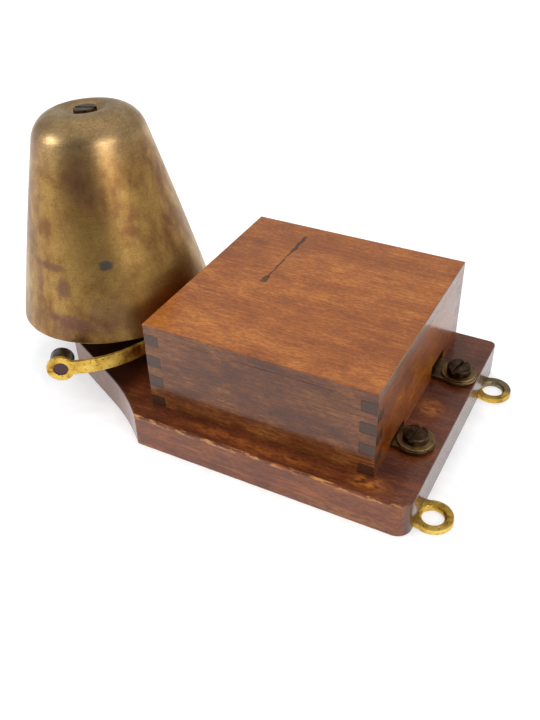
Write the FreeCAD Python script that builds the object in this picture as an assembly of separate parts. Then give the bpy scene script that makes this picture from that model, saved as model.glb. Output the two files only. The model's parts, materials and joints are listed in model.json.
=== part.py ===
import FreeCAD, Part
import math
import os

V = FreeCAD.Vector

# Overall sizes in millimetres. The origin is under the middle of the cover, on the board's back.
cover_side = 90.0
cover_height = 36.7
wall = 6.0
lid_thickness = 4.3
finger_count = 7
lid_round = 0.5

# Base board, seen from the front with the gong end towards -X
board_thickness = 14.3
board_centre_y = -2.2
board_margin = 6.9
board_past_cover = 16.1
shoulder_past_cover = 2.5
tongue_past_cover = 56.0
tongue_end_width = 41.0
tongue_root_past_cover = 25.0
tongue_root_width = 72.4
tongue_mid_past_cover = 12.5
tongue_mid_width = 87.4
near_corner_radius = 5.5
far_corner_radius = 2.5
shoulder_radius = 1.2
board_edge_round = 0.7

# Gong, leaning a few degrees as its pillar does
gong_cover_gap = 4.4
gong_above_board = 11.7
gong_mouth_radius = 39.8
gong_top_radius = 19.6
gong_height = 80.6
gong_bulge = 0.45
gong_shoulder = 12.2
gong_wall = 1.7
gong_rim_round = 0.4
gong_dish = 1.9
gong_dish_flat = 5.3
gong_dish_edge = 8.9
gong_dish_round = 3.0
lean_back = 4.16
lean_far = 2.44

# Gong pillar and the screw that holds the gong
foot_radius = 11.0
foot_height = 3.0
pillar_radius = 5.0
collar_radius = 8.0
collar_height = 4.0
gong_screw_radius = 2.5
gong_screw_depth = 18.0
gong_head_radius = 4.5
gong_head_height = 1.7
gong_washer_radius = 6.0
washer_thickness = 0.8
slot_width = 1.3
slot_depth = 1.1

# Striker arm on edge, with an eye at its end, and the hammer in the eye
arm_above_board = 10.5
arm_height = 5.8
arm_thickness = 1.3
arm_y = -19.0
arm_bend_past_cover = 1.6
arm_tail_overlap = 15.0
first_bend_radius = 13.0
first_bend_angle = 68.0
second_bend_angle = 34.6
hammer_face_gap = 0.2
hammer_sideways = 20.74
arm_straight = 0.5
eye_overlap = 0.8
arm_rivet_inset = 4.0
arm_rivet_pitch = 7.0
eye_outer_radius = 5.35
hammer_radius = 4.6
hammer_length = 6.9
hammer_shank_radius = 2.85
hammer_shank_short = 0.3
hammer_edge_round = 0.5

# Electromagnet with its two coils side by side along X
coil_spacing = 25.0
armature_left_x = -24.0
armature_right_x = 22.0
armature_thickness = 5.0
armature_height = 11.0
air_gap = 2.0
core_radius = 4.0
bobbin_wall = 0.8
bobbin_flange_radius = 10.0
flange_thickness = 1.6
bobbin_length = 30.0
core_nose = 1.6
winding_radius = 8.9
yoke_thickness = 4.0
yoke_length = 42.0
yoke_foot_depth = 13.0
yoke_foot_thickness = 3.0
yoke_above_axis = 8.0
yoke_screw_x = 13.4
yoke_screw_from_back = 4.0
core_screw_depth = 8.0

# Springs, pillars and the contact
leaf_thickness = 0.5
leaf_height = 9.0
leaf_start_x = 10.5
leaf_end_x = 38.0
post_x0 = 29.5
post_x1 = 38.5
post_depth = 8.0
post_height = 16.5
clamp_screw_inset = 2.2
clamp_screw_grip = 5.5
clamp_thickness = 1.2
clamp_screw_radius = 1.2
clamp_head_radius = 2.1
clamp_head_height = 1.4
rivet_radius = 1.0
rivet_head_radius = 1.7
rivet_head_height = 0.7
rivet_head_taper = 0.8
leaf_rivet_inset = 2.5
leaf_rivet_pitch = 6.0
contact_spring_thickness = 0.4
contact_spring_height = 6.0
contact_spring_flat = 7.0
contact_spring_x = 9.0
contact_spring_angle = 9.0
contact_spring_bend_radius = 3.0
contact_rivet_inset = 3.0
contact_spring_margin = 1.0
contact_x = -3.0
stud_radius = 1.4
stud_height = 1.0
stud_shank_radius = 0.84
contact_post_side = 8.0
contact_post_y = -27.0
contact_screw_radius = 1.6
contact_tip_radius = 1.0
contact_tip_length = 2.2
contact_head_radius = 3.6
contact_head_length = 2.2
lock_nut_radius = 3.4
contact_head_gap = 0.5
lock_nut_length = 2.0
contact_gap = 0.06

# Terminals at the end of the board
near_terminal_past_cover = 6.8
near_terminal_y = -22.8
far_terminal_past_cover = 8.8
far_terminal_y = 20.9
lug_radius = 7.0
lug_thickness = 1.1
lug_lift = 0.8
lug_collar_radius = 4.2
strip_collar_radius = 3.1
strip_width = 7.0
strip_neck_width = 12.0
strip_inner_x = 26.0
terminal_head_radius = 4.6
terminal_head_height = 2.6
terminal_washer_radius = 6.7
terminal_screw_radius = 2.0
terminal_screw_depth = 10.0
strip_screw_inset = 4.0

# Notches along the lower edge of the cover
near_notch_height = 3.4
far_notch_height = 6.0
terminal_notch_side = 6.8
arm_notch_side = 4.2
arm_notch_top = 1.6

# Hanging plates let in flush with the back
plate_thickness = 2.0
plate_eye_radius = 7.05
plate_hole_radius = 4.0
plate_countersink = 0.7
plate_neck_width = 12.6
plate_under_board = 25.1
near_eye_past_board = 4.9
near_eye_margin = 13.0
far_eye_past_board = 4.2
far_eye_margin = 14.7
plate_screw_pitch = 12.0
plate_screw_inset = 5.0

# Screws from the back into the pillars, and small wood screws
pillar_screw_radius = 1.8
pillar_head_radius = 3.6
pillar_head_height = 2.2
pillar_screw_recess = 0.6
pillar_screw_reach = 7.0
contact_post_screw_reach = 5.5
wood_screw_radius = 1.4
wood_head_radius = 2.7
wood_head_height = 1.8
wood_screw_length = 9.0
plate_screw_length = 8.0

# Blocks that locate the cover, and the leads
block_side = 8.0
block_height = 6.0
lead_radius = 0.6
lead_bend = 2.5
lead_run = 12.0
lead_last_run = 6.0
lead_from_coil = 4.0
lead_from_flange = 5.0
lead_behind_yoke = 3.0
lead_strip_inset = 2.0

# Screw points, slots and chamfers as shares of the part they are on
point_share = 1.6
point_end_share = 0.15
head_chamfer_share = 0.12
small_slot_width = 0.7
small_slot_depth = 0.9

# How far the slots are turned, in degrees
gong_slot_turn = 13.0
terminal_slot_turns = (84.0, 77.0)
small_slot_turns = (20.0, 75.0)
plate_slot_turns = (10.0, 65.0, 120.0, 40.0)
pillar_slot_turns = (25.0, 90.0, 150.0)

# Clearances
thread_gap = 0.05
running_gap = 0.06
gong_hole_gap = 0.25
seat_gap = 0.1
cover_gap = 0.2
plate_gap = 0.1
lead_gap = 0.1

# How near an edge lies to a height or a corner to count as lying on it
edge_match = 0.01

top = board_thickness
half = cover_side / 2.0
inner = half - wall
board_width = cover_side + 2.0 * board_margin
board_end_x = half + board_past_cover
gong_x = -half - gong_cover_gap - gong_mouth_radius
gong_y = board_centre_y
gong_mouth_z = top + gong_above_board
arm_z = top + arm_above_board
plate_inner_x = board_end_x - plate_under_board
cover_base = top
lid_base = top + cover_height - lid_thickness
finger = (lid_base - cover_base) / finger_count
arm_back = arm_y + arm_thickness / 2.0
armature_front = arm_back
armature_back = armature_front + armature_thickness
core_face = armature_back + air_gap
yoke_front = core_face + core_nose + bobbin_length
pivot_x = (armature_right_x + post_x0) / 2.0
pivot_y = armature_front - leaf_thickness / 2.0
X = V(1, 0, 0)
Y = V(0, 1, 0)
Z = V(0, 0, 1)


def box(x0, x1, y0, y1, z0, z1):
    return Part.makeBox(x1 - x0, y1 - y0, z1 - z0, V(x0, y0, z0))


def rod(radius, length, base, axis=Z):
    return Part.makeCylinder(radius, length, base, axis)


def tube(outer, bore, length, base, axis=Z):
    return rod(outer, length, base, axis).cut(rod(bore, length, base, axis))


def save(name, *solids):
    shape = solids[0] if len(solids) == 1 else Part.makeCompound(list(solids))
    shape.exportStep("parts/" + name + ".step")


def heading(angle):
    return V(math.cos(math.radians(angle)), math.sin(math.radians(angle)), 0)


def left_of(direction):
    return V(-direction.y, direction.x, 0)


def arc_end(start, angle, radius, turn):
    # The point reached and the new angle after a turn, which is positive to the left
    side = 1.0 if turn > 0 else -1.0
    centre = start + left_of(heading(angle)) * (side * radius)
    after = angle + turn
    return centre - left_of(heading(after)) * (side * radius), after


def strip_edge(start, angle, moves, offset):
    # One long edge of a strip, kept at an offset to the left of its centre line
    edges = []
    point = start
    for length, radius, turn in moves:
        a = point + left_of(heading(angle)) * offset
        if turn == 0:
            point = point + heading(angle) * length
            b = point + left_of(heading(angle)) * offset
            edges.append(Part.makeLine(a, b))
        else:
            middle, middle_angle = arc_end(point, angle, radius, turn / 2.0)
            point, after = arc_end(point, angle, radius, turn)
            m = middle + left_of(heading(middle_angle)) * offset
            angle = after
            b = point + left_of(heading(angle)) * offset
            edges.append(Part.Arc(a, m, b).toShape())
    return edges, point, angle


def strip(start, angle, moves, thickness, height):
    # A strip of even thickness standing on its edge in the plane of the board
    left, end, end_angle = strip_edge(start, angle, moves, thickness / 2.0)
    right, end, end_angle = strip_edge(start, angle, moves, -thickness / 2.0)
    across_start = left_of(heading(angle)) * (thickness / 2.0)
    across_end = left_of(heading(end_angle)) * (thickness / 2.0)
    caps = [Part.makeLine(start - across_start, start + across_start),
            Part.makeLine(end - across_end, end + across_end)]
    outline = Part.Wire(Part.__sortEdges__(left + right + caps))
    return Part.Face(outline).extrude(V(0, 0, height)), end, end_angle


def slotted_head(radius, height, base, width, depth, turn):
    # A cheese head with its slot turned in the plane of the head, before it is laid over
    head = rod(radius, height, base)
    ring = [e for e in head.Edges if abs(e.BoundBox.ZMin - base.z - height) < 1e-6 and e.Length > radius]
    head = head.makeChamfer(height * head_chamfer_share, ring[:1])
    slot = box(-radius * 2, radius * 2, -width / 2.0, width / 2.0, 0, depth)
    slot.rotate(V(0, 0, 0), Z, turn)
    slot.translate(base + V(0, 0, height - depth))
    return head.cut(slot)


def flat_screw(head_radius, head_height, radius, length, turn):
    # A countersunk wood screw with its flat at height zero and its point down
    head = Part.makeCone(radius, head_radius, head_height, V(0, 0, -head_height))
    point = radius * point_share
    shank = rod(radius, length - head_height - point, V(0, 0, -length + point))
    tip = Part.makeCone(radius * point_end_share, radius, point, V(0, 0, -length))
    body = head.fuse([shank, tip]).removeSplitter()
    half_slot = small_slot_width / 2.0
    slot = box(-head_radius * 2, head_radius * 2, -half_slot, half_slot, -small_slot_depth, 0)
    slot.rotate(V(0, 0, 0), Z, turn)
    return body.cut(slot)


def flat_screw_hole(head_radius, head_height, radius, length, gap):
    head = Part.makeCone(radius + gap, head_radius + gap, head_height, V(0, 0, -head_height))
    shank = rod(radius + gap, length - head_height + gap, V(0, 0, -length - gap))
    return head.fuse(shank)


def lay(shape, base, axis):
    # Turn a shape that was made along +Z to point along an axis, and move it to its base
    out = shape.copy()
    turn = FreeCAD.Rotation(Z, axis)
    out.Placement = FreeCAD.Placement(base, turn).multiply(out.Placement)
    return out


def lead(points, bend):
    # A round lead through corner points, with each corner rounded
    edges = []
    start = points[0]
    for i in range(1, len(points) - 1):
        corner = points[i]
        before = (corner - points[i - 1]).normalize()
        after = (points[i + 1] - corner).normalize()
        half_turn = before.getAngle(after) / 2.0
        cut = bend * math.tan(half_turn)
        a = corner - before * cut
        b = corner + after * cut
        inward = (after - before).normalize()
        middle = corner + inward * (bend / math.cos(half_turn) - bend)
        edges.append(Part.makeLine(start, a))
        edges.append(Part.Arc(a, middle, b).toShape())
        start = b
    edges.append(Part.makeLine(start, points[-1]))
    path = Part.Wire(edges)
    disc = Part.Wire(Part.makeCircle(lead_radius, points[0], (points[1] - points[0]).normalize()))
    return path.makePipeShell([disc], True, False)


os.makedirs("parts", exist_ok=True)

# Positions shared by the board and what is fixed to it
lean_x = -math.sin(math.radians(lean_back))
lean_y = math.sin(math.radians(lean_far))
gong_axis = V(lean_x, lean_y, math.sqrt(1.0 - lean_x ** 2 - lean_y ** 2))
mouth = V(gong_x, gong_y, gong_mouth_z)
foot = V(gong_x, gong_y, top) - V(gong_axis.x, gong_axis.y, 0) * ((gong_mouth_z - top) / gong_axis.z)
post_mid = V((post_x0 + post_x1) / 2.0, armature_front + post_depth / 2.0, top)
contact_post = V(contact_x, contact_post_y, top)
pillar_points = [foot, post_mid, contact_post]
terminals = [V(half + near_terminal_past_cover, near_terminal_y, top),
             V(half + far_terminal_past_cover, far_terminal_y, top)]
y_near = board_centre_y - board_width / 2.0
y_far = board_centre_y + board_width / 2.0
eyes = [V(board_end_x + near_eye_past_board, y_near + near_eye_margin, 0),
        V(board_end_x + far_eye_past_board, y_far - far_eye_margin, 0)]
plate_screws = []
for eye in eyes:
    plate_screws.append(V(plate_inner_x + plate_screw_inset, eye.y, 0))
    plate_screws.append(V(plate_inner_x + plate_screw_inset + plate_screw_pitch, eye.y, 0))
yoke_screw_y = yoke_front + yoke_foot_depth - yoke_screw_from_back
yoke_holes = []
for side in (-1, 1):
    yoke_holes.append(V(side * yoke_screw_x, yoke_screw_y, top + yoke_foot_thickness))
strip_holes = [V(strip_inner_x + strip_screw_inset, t.y, top + lug_lift + lug_thickness) for t in terminals]

# Board with its shaped tongue
def tongue_point(past_cover, width, side):
    return V(-half - past_cover, board_centre_y + side * width / 2.0, 0)


near_shoulder = tongue_point(shoulder_past_cover, board_width, -1)
far_shoulder = tongue_point(shoulder_past_cover, board_width, 1)
near_root = tongue_point(tongue_root_past_cover, tongue_root_width, -1)
far_root = tongue_point(tongue_root_past_cover, tongue_root_width, 1)
near_mid = tongue_point(tongue_mid_past_cover, tongue_mid_width, -1)
far_mid = tongue_point(tongue_mid_past_cover, tongue_mid_width, 1)
near_end = tongue_point(tongue_past_cover, tongue_end_width, -1)
far_end = tongue_point(tongue_past_cover, tongue_end_width, 1)
near_right = V(board_end_x, y_near, 0)
far_right = V(board_end_x, y_far, 0)
outline = Part.Wire([Part.makeLine(near_shoulder, near_right),
                     Part.makeLine(near_right, far_right),
                     Part.makeLine(far_right, far_shoulder),
                     Part.Arc(far_shoulder, far_mid, far_root).toShape(),
                     Part.makeLine(far_root, far_end),
                     Part.makeLine(far_end, near_end),
                     Part.makeLine(near_end, near_root),
                     Part.Arc(near_root, near_mid, near_shoulder).toShape()])
board = Part.Face(outline).extrude(V(0, 0, board_thickness))


def round_upright(shape, corner, radius):
    picked = [e for e in shape.Edges
              if e.BoundBox.ZLength > board_thickness / 2.0
              and math.hypot(e.CenterOfMass.x - corner.x, e.CenterOfMass.y - corner.y) < edge_match]
    return shape.makeFillet(radius, picked)


for corner, radius in ((near_right, near_corner_radius), (far_right, far_corner_radius),
                       (near_shoulder, shoulder_radius), (far_shoulder, shoulder_radius),
                       (near_end, far_corner_radius), (far_end, far_corner_radius)):
    board = round_upright(board, corner, radius)
top_edges = [e for e in board.Edges if e.BoundBox.ZMin > board_thickness - edge_match]
board = board.makeFillet(board_edge_round, top_edges)


def plate_blank(eye, grow):
    # A flat strip with a round end, from the board's inside to the eye
    half_neck = plate_neck_width / 2.0 + grow
    neck = box(plate_inner_x - grow, eye.x, eye.y - half_neck, eye.y + half_neck, 0, plate_thickness)
    return neck.fuse(rod(plate_eye_radius + grow, plate_thickness, eye)).removeSplitter()


cuts = []
for eye in eyes:
    cuts.append(plate_blank(eye, plate_gap))
for point in plate_screws:
    hole = flat_screw_hole(wood_head_radius, wood_head_height, wood_screw_radius,
                           plate_screw_length, thread_gap)
    cuts.append(lay(hole, V(point.x, point.y, 0), V(0, 0, -1)))
for point in pillar_points:
    cuts.append(rod(pillar_screw_radius + seat_gap, board_thickness, V(point.x, point.y, 0)))
    cuts.append(rod(pillar_head_radius + seat_gap, pillar_head_height + pillar_screw_recess,
                    V(point.x, point.y, 0)))
for point in terminals:
    hole_depth = terminal_screw_depth - lug_lift - lug_thickness - washer_thickness + thread_gap
    cuts.append(rod(terminal_screw_radius + thread_gap, hole_depth, point - V(0, 0, hole_depth)))
for point in yoke_holes + strip_holes:
    depth = wood_screw_length - (point.z - top) + thread_gap
    cuts.append(rod(wood_screw_radius + thread_gap, depth, V(point.x, point.y, top - depth)))
board = board.cut(cuts).removeSplitter()
save("base_board", board)

# Cover: four walls with finger joints and a lid
def corner_fingers(first):
    pieces = []
    for i in range(first, finger_count, 2):
        z0 = cover_base + i * finger
        for sx in (-1, 1):
            for sy in (-1, 1):
                x0 = sx * half if sx < 0 else inner
                y0 = sy * half if sy < 0 else inner
                pieces.append(box(x0, x0 + wall, y0, y0 + wall, z0, z0 + finger))
    return pieces


end_fingers = corner_fingers(0)
side_fingers = corner_fingers(1)
near_wall = box(-half, half, -half, -inner, cover_base, lid_base).cut(end_fingers)
far_wall = box(-half, half, inner, half, cover_base, lid_base).cut(end_fingers)
gong_wall_board = box(-half, -inner, -half, half, cover_base, lid_base).cut(side_fingers)
terminal_wall = box(inner, half, -half, half, cover_base, lid_base).cut(side_fingers)
arm_notch = box(-half, -inner, arm_y - arm_notch_side, arm_y + arm_notch_side,
                cover_base, arm_z + arm_height / 2.0 + arm_notch_top)
gong_wall_board = gong_wall_board.cut(arm_notch)
for point, notch_height in zip(terminals, (near_notch_height, far_notch_height)):
    terminal_wall = terminal_wall.cut(box(inner, half, point.y - terminal_notch_side,
                                          point.y + terminal_notch_side, cover_base,
                                          cover_base + notch_height))
lid = box(-half, half, -half, half, lid_base, lid_base + lid_thickness)
lid_edges = [e for e in lid.Edges if e.BoundBox.ZMin > lid_base + lid_thickness - edge_match]
lid = lid.makeFillet(lid_round, lid_edges)
save("cover_lid", lid)
save("cover_near_wall", near_wall)
save("cover_far_wall", far_wall)
save("cover_gong_end_wall", gong_wall_board)
save("cover_terminal_end_wall", terminal_wall)

# Small blocks on the board that locate the cover
blocks = []
for sx in (-1, 1):
    for sy in (-1, 1):
        x0 = -inner + cover_gap if sx < 0 else inner - cover_gap - block_side
        y0 = -inner + cover_gap if sy < 0 else inner - cover_gap - block_side
        blocks.append(box(x0, x0 + block_side, y0, y0 + block_side, top, top + block_height))
save("cover_locating_blocks", *blocks)

# Gong, turned about its own axis from its mouth upwards, with a shallow dish in its crown
def gong_form(mouth_radius, top_radius, height, shoulder):
    middle = V((mouth_radius + top_radius) / 2.0 + gong_bulge, 0, height / 2.0)
    side = Part.Arc(V(mouth_radius, 0, 0), middle, V(top_radius, 0, height)).toShape()
    dish_edge = V(gong_dish_edge, 0, height)
    dish_flat = V(gong_dish_flat, 0, height - gong_dish)
    dish_middle = V(0, 0, height - gong_dish)
    profile = Part.Wire([Part.makeLine(V(0, 0, 0), V(mouth_radius, 0, 0)), side,
                         Part.makeLine(V(top_radius, 0, height), dish_edge),
                         Part.makeLine(dish_edge, dish_flat),
                         Part.makeLine(dish_flat, dish_middle),
                         Part.makeLine(dish_middle, V(0, 0, 0))])
    form = Part.Face(profile).revolve(V(0, 0, 0), Z, 360)
    dish_width = 2.0 * gong_dish_edge + edge_match
    rim = [e for e in form.Edges if e.BoundBox.ZMin > height - edge_match and e.BoundBox.XLength > dish_width]
    form = form.makeFillet(shoulder, rim)
    dish = [e for e in form.Edges
            if e.BoundBox.ZLength < edge_match and e.BoundBox.ZMin > height - gong_dish - edge_match
            and e.BoundBox.XLength < dish_width and e.BoundBox.XLength > gong_dish_flat]
    return form.makeFillet(gong_dish_round, dish)


outer_form = gong_form(gong_mouth_radius, gong_top_radius, gong_height, gong_shoulder)
inner_form = gong_form(gong_mouth_radius - gong_wall, gong_top_radius - gong_wall,
                       gong_height - gong_wall, gong_shoulder - gong_wall)
gong = outer_form.cut(inner_form)
gong = gong.cut(rod(gong_screw_radius + gong_hole_gap, gong_height, V(0, 0, gong_height / 2.0)))
gong_rim = [e for e in gong.Edges
            if e.BoundBox.ZMax < edge_match and e.BoundBox.XLength > gong_mouth_radius]
gong = gong.makeFillet(gong_rim_round, gong_rim)
save("gong", lay(gong, mouth, gong_axis))

# Pillar: an upright foot, and a stem and collar along the gong's axis
crown_height = gong_height - gong_dish
washer_base = crown_height - gong_wall - washer_thickness
stem_length = washer_base + (gong_mouth_z - top) / gong_axis.z
stem = rod(pillar_radius, stem_length + pillar_radius, foot - gong_axis * pillar_radius, gong_axis)
collar = rod(collar_radius, collar_height, foot + gong_axis * (stem_length - collar_height), gong_axis)
below = box(foot.x - foot_radius, foot.x + foot_radius, foot.y - foot_radius, foot.y + foot_radius,
            0, top)
pillar = rod(foot_radius, foot_height, foot).fuse([stem, collar]).cut(below).removeSplitter()
screw_bore = rod(gong_screw_radius + thread_gap, gong_screw_depth,
                 foot + gong_axis * (stem_length - gong_screw_depth), gong_axis)
foot_bore = rod(pillar_screw_radius + thread_gap, pillar_screw_reach + seat_gap, foot)
pillar = pillar.cut([screw_bore, foot_bore])
save("gong_pillar", pillar)

# Washer under the crown, and the screw whose head sits in the dish
gong_washer = tube(gong_washer_radius, gong_screw_radius + thread_gap, washer_thickness, V(0, 0, 0))
save("gong_washer", lay(gong_washer, mouth + gong_axis * washer_base, gong_axis))
crown = mouth + gong_axis * crown_height
gong_head = slotted_head(gong_head_radius, gong_head_height, V(0, 0, 0),
                         slot_width, slot_depth, gong_slot_turn)
gong_shank_length = gong_wall + washer_thickness + gong_screw_depth - seat_gap
gong_shank = rod(gong_screw_radius, gong_shank_length, V(0, 0, -gong_shank_length))
save("gong_screw", lay(gong_head.fuse(gong_shank).removeSplitter(), crown, gong_axis))

# Striker arm: a straight tail on the armature, two bends, and the eye
tail_x = armature_left_x + arm_tail_overlap
arm_bend_x = -half - arm_bend_past_cover
tail_start = V(tail_x, arm_y, arm_z - arm_height / 2.0)
arm_angle = 180.0 + first_bend_angle - second_bend_angle
along = heading(arm_angle)
to_gong = left_of(along) * -1.0
# The eye stands off the gong by the hammer, and its place sets the arm's middle and second bend
stand_off = gong_mouth_radius + hammer_face_gap + hammer_length + arm_thickness / 2.0
eye_centre = V(gong_x, gong_y, arm_z) - to_gong * stand_off + along * hammer_sideways
arm_end = eye_centre - along * (eye_outer_radius - eye_overlap + arm_straight)
bend_out, middle_angle = arc_end(V(arm_bend_x, arm_y, arm_z), 180.0, first_bend_radius, first_bend_angle)
middle = heading(middle_angle)
chord = left_of(along) - left_of(middle)
gap = arm_end - bend_out
cross = middle.x * chord.y - middle.y * chord.x
arm_middle = (gap.x * chord.y - gap.y * chord.x) / cross
second_bend_radius = (middle.x * gap.y - middle.y * gap.x) / cross
moves = [(tail_x - arm_bend_x, 0, 0), (0, first_bend_radius, first_bend_angle), (arm_middle, 0, 0),
         (0, second_bend_radius, -second_bend_angle), (arm_straight, 0, 0)]
arm, strip_end, strip_angle = strip(tail_start, 180.0, moves, arm_thickness, arm_height)
eye_front = eye_centre - to_gong * (arm_thickness / 2.0)
eye_ring = rod(eye_outer_radius, arm_thickness, eye_front, to_gong)
arm = arm.fuse(eye_ring).removeSplitter()
arm = arm.cut(rod(hammer_shank_radius + thread_gap, arm_thickness, eye_front, to_gong))
arm_rivets_x = [armature_left_x + arm_rivet_inset, armature_left_x + arm_rivet_inset + arm_rivet_pitch]
spring_rivets_x = [leaf_start_x + leaf_rivet_inset, leaf_start_x + leaf_rivet_inset + leaf_rivet_pitch]
contact_rivet_x = [contact_spring_x - contact_rivet_inset]


def across_holes(xs, radius, y0, y1):
    return [rod(radius, y1 - y0, V(x, y0, arm_z), Y) for x in xs]


arm = arm.cut(across_holes(arm_rivets_x, rivet_radius + thread_gap, arm_y - arm_thickness, armature_back))
save("striker_arm", arm)
shank_start = eye_front + to_gong * hammer_shank_short
hammer_shank = rod(hammer_shank_radius, arm_thickness - hammer_shank_short, shank_start, to_gong)
hammer_start = eye_front + to_gong * arm_thickness
hammer_head = rod(hammer_radius, hammer_length, hammer_start, to_gong)
rims = [e for e in hammer_head.Edges if e.Length > hammer_radius * math.pi]
hammer_head = hammer_head.makeFillet(hammer_edge_round, rims)
save("hammer", hammer_shank.fuse(hammer_head).removeSplitter())

# Armature bar and its rivets
armature = box(armature_left_x, armature_right_x, armature_front, armature_back,
               arm_z - armature_height / 2.0, arm_z + armature_height / 2.0)
all_rivets_x = arm_rivets_x + contact_rivet_x + spring_rivets_x
armature = armature.cut(across_holes(all_rivets_x, rivet_radius + thread_gap,
                                     armature_front, armature_back))
save("armature", armature)


def rivet(x, face_y):
    # The head stands on the strip and the shank ends flush with the armature's back
    shank = rod(rivet_radius, armature_back - face_y, V(x, face_y, arm_z), Y)
    head = Part.makeCone(rivet_head_radius, rivet_radius * rivet_head_taper, rivet_head_height,
                         V(x, face_y, arm_z), V(0, -1, 0))
    return shank.fuse(head).removeSplitter()


save("arm_rivets", *[rivet(x, arm_y - arm_thickness / 2.0) for x in arm_rivets_x])
save("leaf_spring_rivets", *[rivet(x, armature_front - leaf_thickness) for x in spring_rivets_x])

# Leaf spring from the armature to its post
leaf = box(leaf_start_x, leaf_end_x, armature_front - leaf_thickness, armature_front,
           arm_z - leaf_height / 2.0, arm_z + leaf_height / 2.0)
clamp_xs = [post_x0 + clamp_screw_inset, post_x1 - clamp_screw_inset]
leaf_face = armature_front - leaf_thickness
leaf = leaf.cut(across_holes(spring_rivets_x, rivet_radius + thread_gap, leaf_face, armature_front))
leaf = leaf.cut(across_holes(clamp_xs, clamp_screw_radius + thread_gap, leaf_face, armature_front))
save("leaf_spring", leaf)

# Post that holds the leaf spring, with its clamp plate and screws
post = box(post_x0, post_x1, armature_front, armature_front + post_depth, top, top + post_height)
post = post.cut(across_holes(clamp_xs, clamp_screw_radius + thread_gap, armature_front,
                             armature_front + clamp_screw_grip + thread_gap))
post = post.cut(rod(pillar_screw_radius + thread_gap, pillar_screw_reach + seat_gap, post_mid))
save("leaf_spring_post", post)
clamp_front = leaf_face - clamp_thickness
clamp = box(post_x0, leaf_end_x, clamp_front, leaf_face,
            arm_z - leaf_height / 2.0, arm_z + leaf_height / 2.0)
clamp = clamp.cut(across_holes(clamp_xs, clamp_screw_radius + thread_gap, clamp_front, leaf_face))
save("leaf_spring_clamp", clamp)


def machine_screw(head_radius, head_height, radius, length, turn):
    # A cheese-head screw with the underside of its head at height zero
    head = slotted_head(head_radius, head_height, V(0, 0, 0), small_slot_width, head_height / 2.0, turn)
    return head.fuse(rod(radius, length, V(0, 0, -length))).removeSplitter()


clamp_screw_length = clamp_thickness + leaf_thickness + clamp_screw_grip
clamp_screws = []
for x, turn in zip(clamp_xs, small_slot_turns):
    screw = machine_screw(clamp_head_radius, clamp_head_height, clamp_screw_radius,
                          clamp_screw_length, turn)
    clamp_screws.append(lay(screw, V(x, clamp_front, arm_z), V(0, -1, 0)))
save("leaf_spring_clamp_screws", *clamp_screws)

# Contact spring on the armature, with its stud
spring_y = armature_front - contact_spring_thickness / 2.0
spring_z = arm_z - contact_spring_height / 2.0
spring_reach = contact_spring_x - contact_spring_flat - contact_x + stud_radius + contact_spring_margin
contact_moves = [(contact_spring_flat, 0, 0), (0, contact_spring_bend_radius, contact_spring_angle),
                 (spring_reach, 0, 0)]
spring_start = V(contact_spring_x, spring_y, spring_z)
contact_spring, spring_end, spring_angle = strip(spring_start, 180.0, contact_moves,
                                                 contact_spring_thickness, contact_spring_height)
spring_normal = left_of(heading(spring_angle))
along_spring = heading(spring_angle)
back_off = (spring_end.x - contact_x) / along_spring.x
stud_base = V(spring_end.x, spring_end.y, arm_z) - along_spring * back_off
stud_base = stud_base - spring_normal * (contact_spring_thickness / 2.0)
stud_axis = spring_normal
stud_hole_start = stud_base - stud_axis * (contact_spring_thickness / 2.0)
contact_spring = contact_spring.cut(rod(stud_shank_radius + thread_gap, contact_spring_thickness * 2.0,
                                        stud_hole_start, stud_axis))
contact_spring = contact_spring.cut(across_holes(contact_rivet_x, rivet_radius + thread_gap,
                                                 armature_front - contact_spring_thickness, armature_front))
save("contact_spring", contact_spring)
stud = rod(stud_shank_radius, contact_spring_thickness, stud_base, stud_axis)
stud = stud.fuse(rod(stud_radius, stud_height, stud_base + stud_axis * contact_spring_thickness, stud_axis))
save("contact_stud", stud.removeSplitter())
save("contact_spring_rivet", rivet(contact_rivet_x[0], armature_front - contact_spring_thickness))

# Contact post, its screw with a tip, and the lock nut
half_post = contact_post_side / 2.0
screw_z = arm_z
contact_block = box(contact_post.x - half_post, contact_post.x + half_post,
                    contact_post.y - half_post, contact_post.y + half_post, top, top + post_height)
contact_block = contact_block.cut(rod(contact_screw_radius + running_gap, contact_post_side,
                                      V(contact_x, contact_post.y - half_post, screw_z), Y))
contact_block = contact_block.cut(rod(pillar_screw_radius + thread_gap,
                                      contact_post_screw_reach + seat_gap, contact_post))
save("contact_post", contact_block)
stud_face_y = stud.BoundBox.YMin
tip_y = stud_face_y - contact_gap
tip_base = V(contact_x, tip_y - contact_tip_length, screw_z)
save("contact_tip", rod(contact_tip_radius, contact_tip_length, tip_base, Y))
nut_start_y = contact_post.y - half_post - lock_nut_length
contact_head_y = nut_start_y - contact_head_gap - contact_head_length
contact_shank = rod(contact_screw_radius, tip_base.y - contact_head_y,
                    V(contact_x, contact_head_y, screw_z), Y)
contact_knob = slotted_head(contact_head_radius, contact_head_length, V(0, 0, 0),
                            small_slot_width, small_slot_depth, gong_slot_turn)
contact_knob = lay(contact_knob, V(contact_x, contact_head_y + contact_head_length, screw_z), V(0, -1, 0))
save("contact_screw", contact_shank.fuse(contact_knob).removeSplitter())
nut_points = [heading(60.0 * i) * lock_nut_radius for i in range(7)]
nut = Part.Face(Part.makePolygon(nut_points)).extrude(V(0, 0, lock_nut_length))
nut = nut.cut(rod(contact_screw_radius + running_gap, lock_nut_length, V(0, 0, 0)))
save("contact_lock_nut", lay(nut, V(contact_x, nut_start_y, screw_z), Y))

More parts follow.
